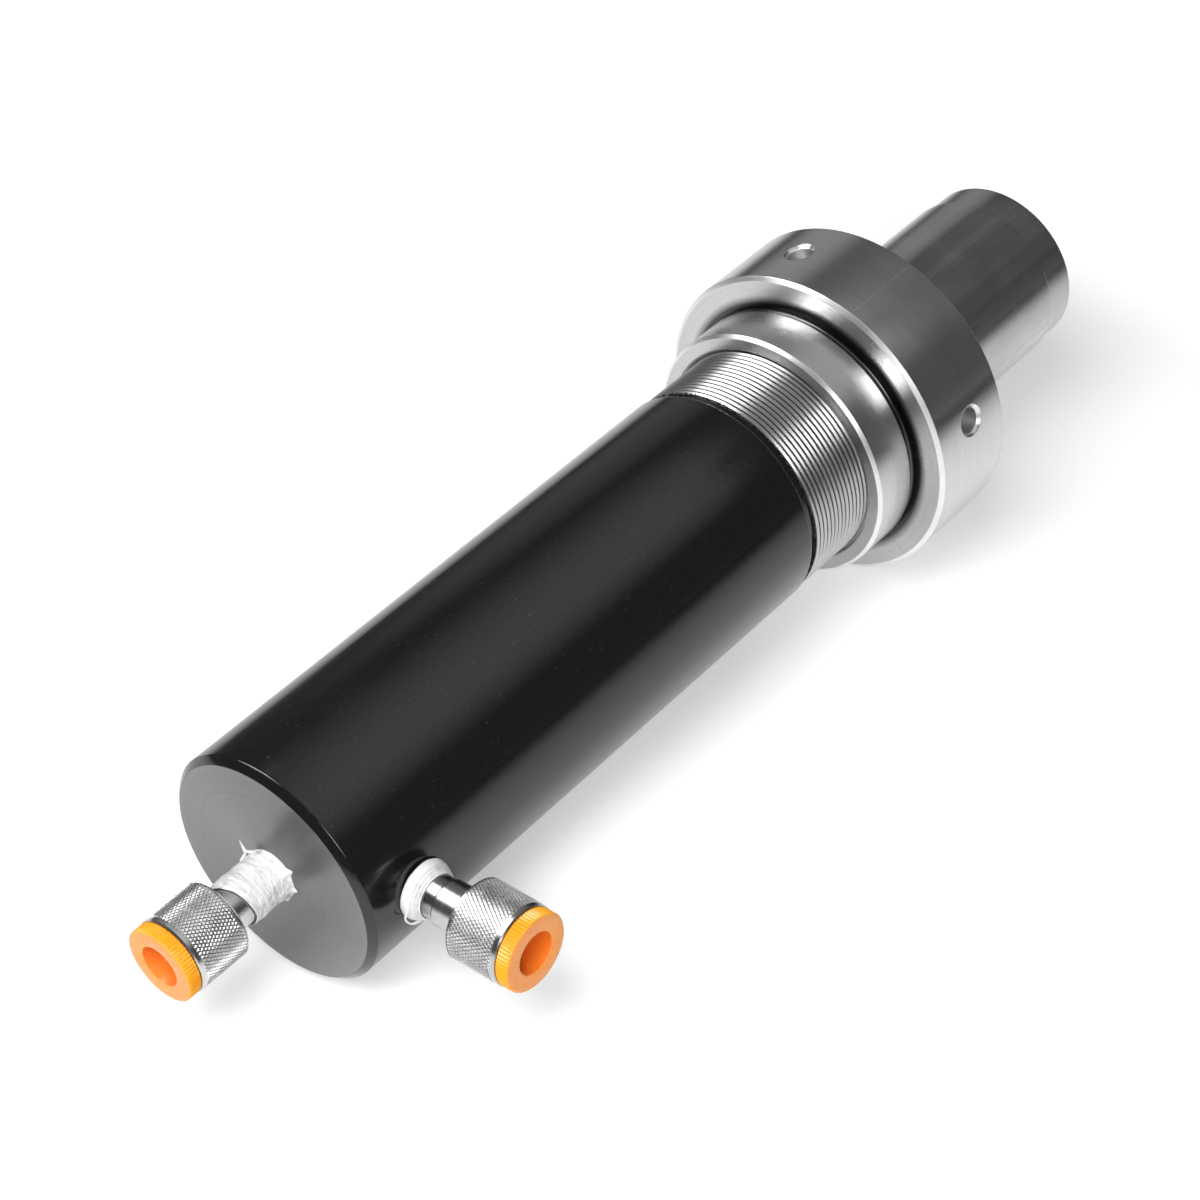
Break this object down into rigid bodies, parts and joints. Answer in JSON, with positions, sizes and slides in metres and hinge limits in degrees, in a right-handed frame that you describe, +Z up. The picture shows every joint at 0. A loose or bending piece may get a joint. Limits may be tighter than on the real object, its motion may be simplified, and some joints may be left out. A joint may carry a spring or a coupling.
{
  "type": "shop press hydraulic cylinder",
  "caption": "Double-acting hydraulic cylinder with a threaded barrel end, a flanged collar nut to locate it in a press frame, a round ram and screw couplers with dust plugs.",
  "frame": {"origin": "on the cylinder's axis, in the plane of the collar nut's shoulder that bears on the press frame", "axes": "+X along the axis from the base to the ram, +Z up with the cylinder lying down, the side coupler points to -Y"},
  "size_m": [0.4222, 0.1402, 0.114],
  "materials": {
    "black_paint": "gloss",
    "turned_steel": "turned",
    "ram_steel": "dull",
    "fitting_steel": "satin",
    "orange_plastic": "semi gloss",
    "white_tape": "soft",
    "seal_rubber": "matte",
    "guide_plastic": "matte"
  },
  "bodies": {
    "barrel": {"barrel": "black_paint", "base_cap": "turned_steel", "weld_ring": "black_paint", "cap_o_ring": "seal_rubber", "feed_tube": "fitting_steel", "gland": "turned_steel", "gland_o_ring": "seal_rubber", "rod_seal": "seal_rubber", "rod_wear_ring": "guide_plastic", "rod_wiper": "seal_rubber", "base_coupler_body": "fitting_steel", "base_snap_ring": "fitting_steel", "base_nose_o_ring": "seal_rubber", "base_spring_retainer": "fitting_steel", "base_valve_spring": "fitting_steel", "base_thread_tape": "white_tape", "side_coupler_body": "fitting_steel", "side_snap_ring": "fitting_steel", "side_nose_o_ring": "seal_rubber", "side_spring_retainer": "fitting_steel", "side_valve_spring": "fitting_steel", "side_thread_tape": "white_tape"},
    "ram": {"piston_rod": "ram_steel", "piston": "turned_steel", "piston_seal": "seal_rubber", "piston_wear_ring": "guide_plastic", "piston_o_ring": "seal_rubber", "tube_seal": "seal_rubber", "piston_lock_nut": "turned_steel"},
    "collar_nut": {"ring_nut": "turned_steel"},
    "base_collar": {"base_collar": "fitting_steel"},
    "side_collar": {"side_collar": "fitting_steel"},
    "base_plug": {"base_dust_plug": "orange_plastic"},
    "side_plug": {"side_dust_plug": "orange_plastic"},
    "base_valve": {"base_poppet": "fitting_steel"},
    "side_valve": {"side_poppet": "fitting_steel"}
  },
  "joints": [
    {"name": "ram_slide", "type": "slide", "parent": "barrel", "child": "ram", "axis": [1, 0, 0], "range_m": [-0.07, 0.08]},
    {"name": "nut_travel", "type": "slide", "parent": "barrel", "child": "collar_nut", "axis": [1, 0, 0], "range_m": [-0.024, 0.004]},
    {"name": "base_collar_spin", "type": "hinge", "parent": "barrel", "child": "base_collar", "pos_m": [-0.291, 0, 0], "axis": [-1, 0, 0], "continuous": true},
    {"name": "side_collar_spin", "type": "hinge", "parent": "barrel", "child": "side_collar", "pos_m": [-0.2375, -0.07, 0], "axis": [0, -1, 0], "continuous": true},
    {"name": "base_plug_out", "type": "slide", "parent": "base_collar", "child": "base_plug", "axis": [-1, 0, 0], "range_m": [0, 0.03]},
    {"name": "side_plug_out", "type": "slide", "parent": "side_collar", "child": "side_plug", "axis": [0, -1, 0], "range_m": [0, 0.03]},
    {"name": "base_valve_push", "type": "slide", "parent": "barrel", "child": "base_valve", "axis": [1, 0, 0], "range_m": [0, 0.0024], "stiffness_N_per_m": 600, "springref_m": -0.002, "deforming": ["base_valve_spring"]},
    {"name": "side_valve_push", "type": "slide", "parent": "barrel", "child": "side_valve", "axis": [0, 1, 0], "range_m": [0, 0.0024], "stiffness_N_per_m": 600, "springref_m": -0.002, "deforming": ["side_valve_spring"]}
  ]
}
